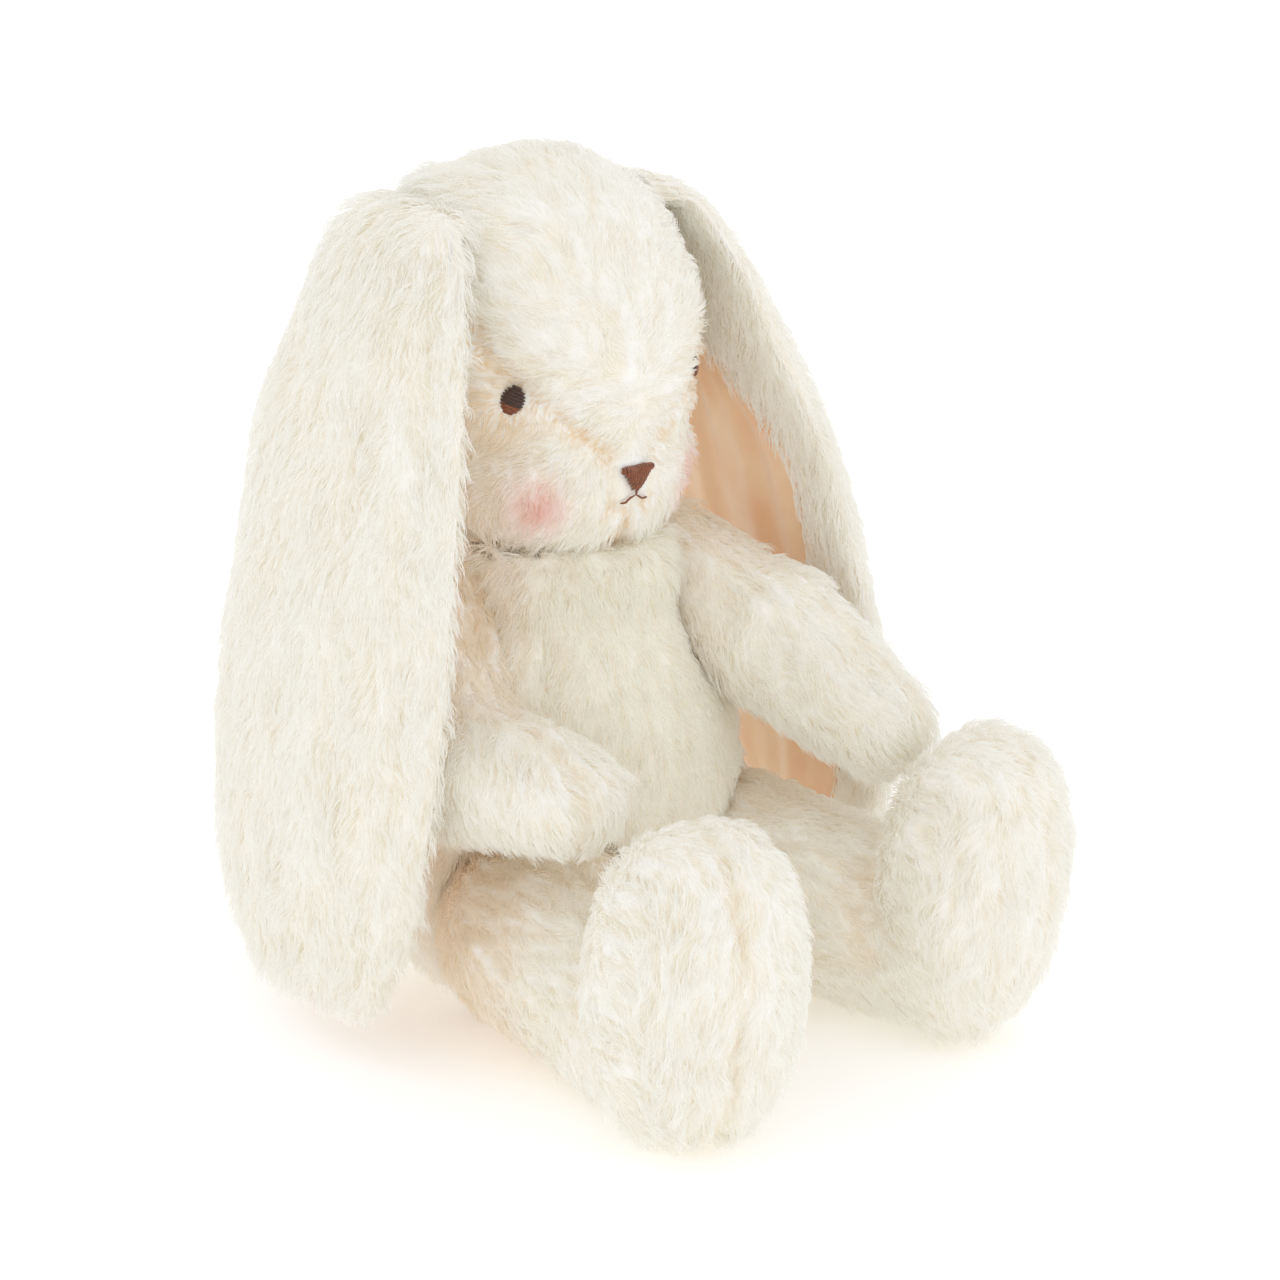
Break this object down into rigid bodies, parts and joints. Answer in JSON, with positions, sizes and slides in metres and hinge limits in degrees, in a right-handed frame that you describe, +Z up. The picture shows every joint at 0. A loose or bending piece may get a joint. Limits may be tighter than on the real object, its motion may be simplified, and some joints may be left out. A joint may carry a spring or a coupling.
{
  "type": "plush bunny",
  "caption": "Sitting lop-eared plush bunny: cream pile panels over soft stuffing, satin-lined hanging ears, stitched eyes and nose, floppy arms and legs that stand on big feet.",
  "frame": {"origin": "on the ground, in the middle of the footprint's bounding box", "axes": "+Z up; the face looks along -Y; the bunny's left side is +X"},
  "size_m": [0.207, 0.2323, 0.262],
  "materials": {
    "long_pile": "long soft pile, matte",
    "short_pile": "short dense pile, matte",
    "satin_lining": "smooth satin with a soft sheen",
    "brown_thread": "satin-stitched embroidery thread",
    "cotton_thread": "matte sewing thread",
    "polyester_fibre": "loose fibre filling"
  },
  "bodies": {
    "body": {"belly_panel": "short_pile", "back_panel_left": "long_pile", "back_panel_right": "long_pile", "seat_panel": "long_pile", "body_stuffing": "polyester_fibre", "tail_cover": "long_pile", "tail_stuffing": "polyester_fibre", "neck_stitch": "cotton_thread"},
    "head": {"forehead_gusset": "long_pile", "cheek_panel_left": "long_pile", "cheek_panel_right": "long_pile", "head_stuffing": "polyester_fibre", "nose": "brown_thread", "mouth_stitch": "brown_thread", "eye_left": "brown_thread", "eye_right": "brown_thread", "ear_root_stitch_left": "cotton_thread", "ear_root_stitch_right": "cotton_thread"},
    "ear_left": {"ear_outer_left": "long_pile", "ear_lining_left": "satin_lining"},
    "ear_right": {"ear_outer_right": "long_pile", "ear_lining_right": "satin_lining"},
    "arm_left": {"arm_outer_left": "long_pile", "arm_inner_left": "long_pile", "arm_stuffing_left": "polyester_fibre"},
    "arm_right": {"arm_outer_right": "long_pile", "arm_inner_right": "long_pile", "arm_stuffing_right": "polyester_fibre"},
    "leg_left": {"leg_outer_left": "long_pile", "leg_inner_left": "long_pile", "leg_stuffing_left": "polyester_fibre"},
    "leg_right": {"leg_outer_right": "long_pile", "leg_inner_right": "long_pile", "leg_stuffing_right": "polyester_fibre"}
  },
  "joints": [
    {"name": "head_nod", "type": "hinge", "parent": "body", "child": "head", "pos_m": [0, 0.04406, 0.15], "axis": [-1, 0, 0], "range_deg": [0, 20]},
    {"name": "ear_left_swing", "type": "hinge", "parent": "head", "child": "ear_left", "pos_m": [0.0385, 0.05106, 0.2467], "axis": [0, -1, 0], "range_deg": [0, 90]},
    {"name": "ear_right_swing", "type": "hinge", "parent": "head", "child": "ear_right", "pos_m": [-0.0385, 0.05106, 0.2467], "axis": [0, 1, 0], "range_deg": [0, 90]},
    {"name": "arm_left_lift", "type": "hinge", "parent": "body", "child": "arm_left", "pos_m": [0.036, 0.03606, 0.122], "axis": [-1, 0, 0], "range_deg": [0, 30]},
    {"name": "arm_right_lift", "type": "hinge", "parent": "body", "child": "arm_right", "pos_m": [-0.036, 0.03606, 0.122], "axis": [-1, 0, 0], "range_deg": [0, 30]},
    {"name": "leg_left_swing", "type": "hinge", "parent": "body", "child": "leg_left", "pos_m": [0.038, 0.00006, 0.0334], "axis": [-1, 0, 0], "range_deg": [-70, 0]},
    {"name": "leg_right_swing", "type": "hinge", "parent": "body", "child": "leg_right", "pos_m": [-0.038, 0.00006, 0.0334], "axis": [-1, 0, 0], "range_deg": [-70, 0]}
  ]
}
